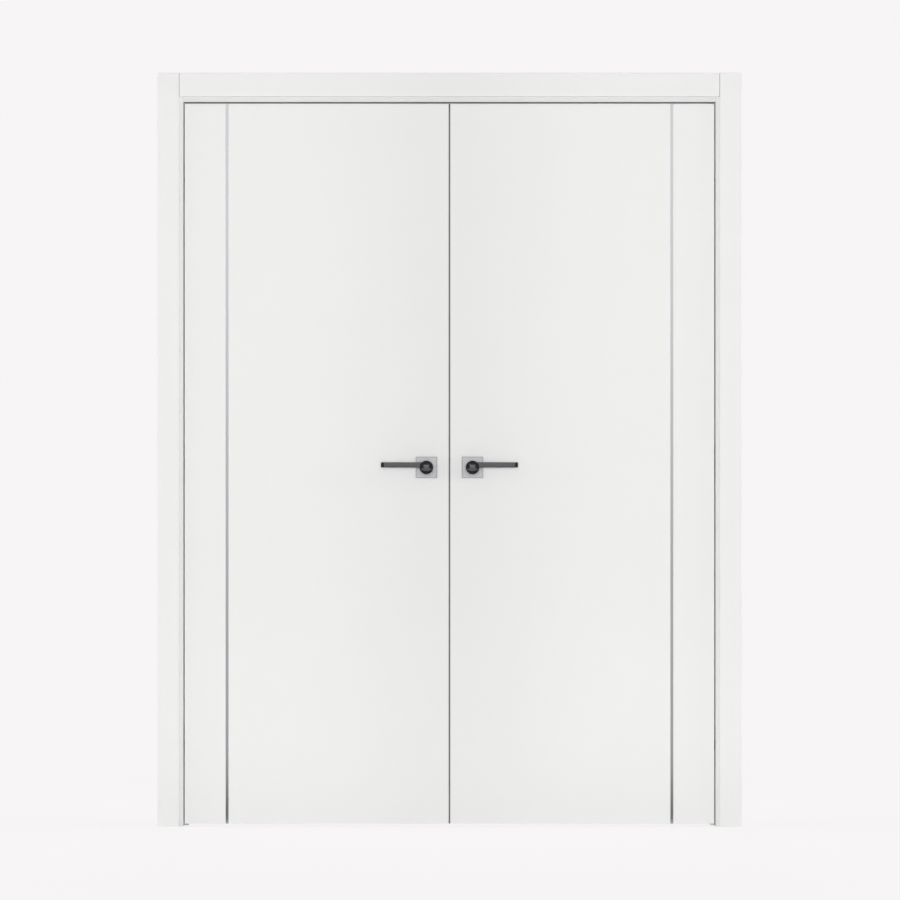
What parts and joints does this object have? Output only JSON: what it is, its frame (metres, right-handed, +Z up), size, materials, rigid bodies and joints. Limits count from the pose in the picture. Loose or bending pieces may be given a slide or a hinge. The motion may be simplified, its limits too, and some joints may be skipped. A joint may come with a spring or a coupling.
{
  "type": "flush french doors",
  "caption": "Double interior door set: flush white leaves with slim metal inlays and lever handles, hung on concealed hinges in a rebated frame with flat casings.",
  "frame": {"origin": "on the floor, midway across the opening and midway through the overall depth", "axes": "+X to the right seen from the front, +Y from the front to the back, +Z up; the leaves open towards -Y"},
  "size_m": [1.648, 0.17, 2.127],
  "materials": {
    "white_lacquer": "satin white lacquer",
    "inlay_aluminium": "brushed, clear anodised",
    "lever_chrome": "polished dark chrome",
    "rose_chrome": "satin chrome",
    "hinge_zinc": "satin chrome on cast zinc",
    "rose_zinc": "raw cast zinc",
    "plated_steel": "satin nickel plate",
    "seal_rubber": "pale grey soft rubber",
    "fin_rubber": "dark grey soft rubber"
  },
  "bodies": {
    "frame": {"left_jamb": "white_lacquer", "right_jamb": "white_lacquer", "head_jamb": "white_lacquer", "front_casing_left": "white_lacquer", "front_casing_right": "white_lacquer", "front_casing_head": "white_lacquer", "rear_casing_left": "white_lacquer", "rear_casing_right": "white_lacquer", "rear_casing_head": "white_lacquer", "frame_seal": "seal_rubber", "head_bolt_keep": "plated_steel", "left_frame_housings": "hinge_zinc", "right_frame_housings": "hinge_zinc", "left_frame_pins": "plated_steel", "right_frame_pins": "plated_steel"},
    "left_leaf": {"left_slab": "white_lacquer", "left_inlay_front": "inlay_aluminium", "left_inlay_rear": "inlay_aluminium", "left_leaf_housings": "hinge_zinc", "left_leaf_pins": "plated_steel", "left_meeting_seal": "fin_rubber", "latch_keep": "plated_steel", "upper_bolt_plate": "plated_steel", "lower_bolt_plate": "plated_steel", "left_rose_base_front": "rose_zinc", "left_rose_base_rear": "rose_zinc", "left_rose_cover_front": "rose_chrome", "left_rose_cover_rear": "rose_chrome", "left_rose_springs": "plated_steel", "left_rose_bolts": "plated_steel"},
    "right_leaf": {"right_slab": "white_lacquer", "right_inlay_front": "inlay_aluminium", "right_inlay_rear": "inlay_aluminium", "right_leaf_housings": "hinge_zinc", "right_leaf_pins": "plated_steel", "right_meeting_seal": "fin_rubber", "lock_case": "plated_steel", "lock_faceplate": "plated_steel", "right_rose_base_front": "rose_zinc", "right_rose_base_rear": "rose_zinc", "right_rose_cover_front": "rose_chrome", "right_rose_cover_rear": "rose_chrome", "right_rose_springs": "plated_steel", "right_rose_bolts": "plated_steel"},
    "left_lever": {"left_lever_front": "lever_chrome", "left_lever_rear": "lever_chrome", "left_spindle": "plated_steel"},
    "right_lever": {"right_lever_front": "lever_chrome", "right_lever_rear": "lever_chrome", "right_spindle": "plated_steel", "lock_follower": "plated_steel"},
    "latch": {"latch_bolt": "plated_steel"},
    "upper_bolt": {"upper_flush_bolt": "plated_steel"},
    "lower_bolt": {"lower_flush_bolt": "plated_steel"},
    "left_frame_arms": {"left_frame_links": "hinge_zinc", "left_centre_pins": "plated_steel"},
    "left_leaf_arms": {"left_leaf_links": "hinge_zinc"},
    "right_frame_arms": {"right_frame_links": "hinge_zinc", "right_centre_pins": "plated_steel"},
    "right_leaf_arms": {"right_leaf_links": "hinge_zinc"}
  },
  "joints": [
    {"name": "left_leaf_swing", "type": "hinge", "parent": "frame", "child": "left_leaf", "pos_m": [-0.7495, -0.027, 1.014], "axis": [0, 0, -1], "range_deg": [0, 95]},
    {"name": "left_frame_arm_turn", "type": "hinge", "parent": "frame", "child": "left_frame_arms", "pos_m": [-0.7551, -0.0131, 1.014], "axis": [0, 0, -1], "range_deg": [0, 95]},
    {"name": "left_leaf_arm_turn", "type": "hinge", "parent": "left_leaf", "child": "left_leaf_arms", "pos_m": [-0.7439, -0.0131, 1.014], "axis": [0, 0, -1], "range_deg": [-95, 0]},
    {"name": "right_leaf_swing", "type": "hinge", "parent": "frame", "child": "right_leaf", "pos_m": [0.7495, -0.027, 1.014], "axis": [0, 0, 1], "range_deg": [0, 95]},
    {"name": "right_frame_arm_turn", "type": "hinge", "parent": "frame", "child": "right_frame_arms", "pos_m": [0.7551, -0.0131, 1.014], "axis": [0, 0, 1], "range_deg": [0, 95]},
    {"name": "right_leaf_arm_turn", "type": "hinge", "parent": "right_leaf", "child": "right_leaf_arms", "pos_m": [0.7439, -0.0131, 1.014], "axis": [0, 0, 1], "range_deg": [-95, 0]},
    {"name": "left_lever_turn", "type": "hinge", "parent": "left_leaf", "child": "left_lever", "pos_m": [-0.065, -0.027, 1.014], "axis": [0, -1, 0], "range_deg": [0, 40], "stiffness_Nm_per_rad": 1, "springref_deg": -45.84},
    {"name": "right_lever_turn", "type": "hinge", "parent": "right_leaf", "child": "right_lever", "pos_m": [0.065, -0.027, 1.014], "axis": [0, 1, 0], "range_deg": [0, 40], "stiffness_Nm_per_rad": 1, "springref_deg": -45.84},
    {"name": "latch_slide", "type": "slide", "parent": "right_leaf", "child": "latch", "axis": [-1, 0, 0], "range_m": [0, 0.009]},
    {"name": "upper_bolt_slide", "type": "slide", "parent": "left_leaf", "child": "upper_bolt", "axis": [0, 0, 1], "range_m": [0, 0.016]},
    {"name": "lower_bolt_slide", "type": "slide", "parent": "left_leaf", "child": "lower_bolt", "axis": [0, 0, -1], "range_m": [0, 0.016]}
  ],
  "couplings": [
    {"joint": "left_frame_arm_turn", "follows": "left_leaf_swing", "ratio": 1},
    {"joint": "left_leaf_arm_turn", "follows": "left_leaf_swing", "ratio": -1},
    {"joint": "right_frame_arm_turn", "follows": "right_leaf_swing", "ratio": 1},
    {"joint": "right_leaf_arm_turn", "follows": "right_leaf_swing", "ratio": -1}
  ]
}
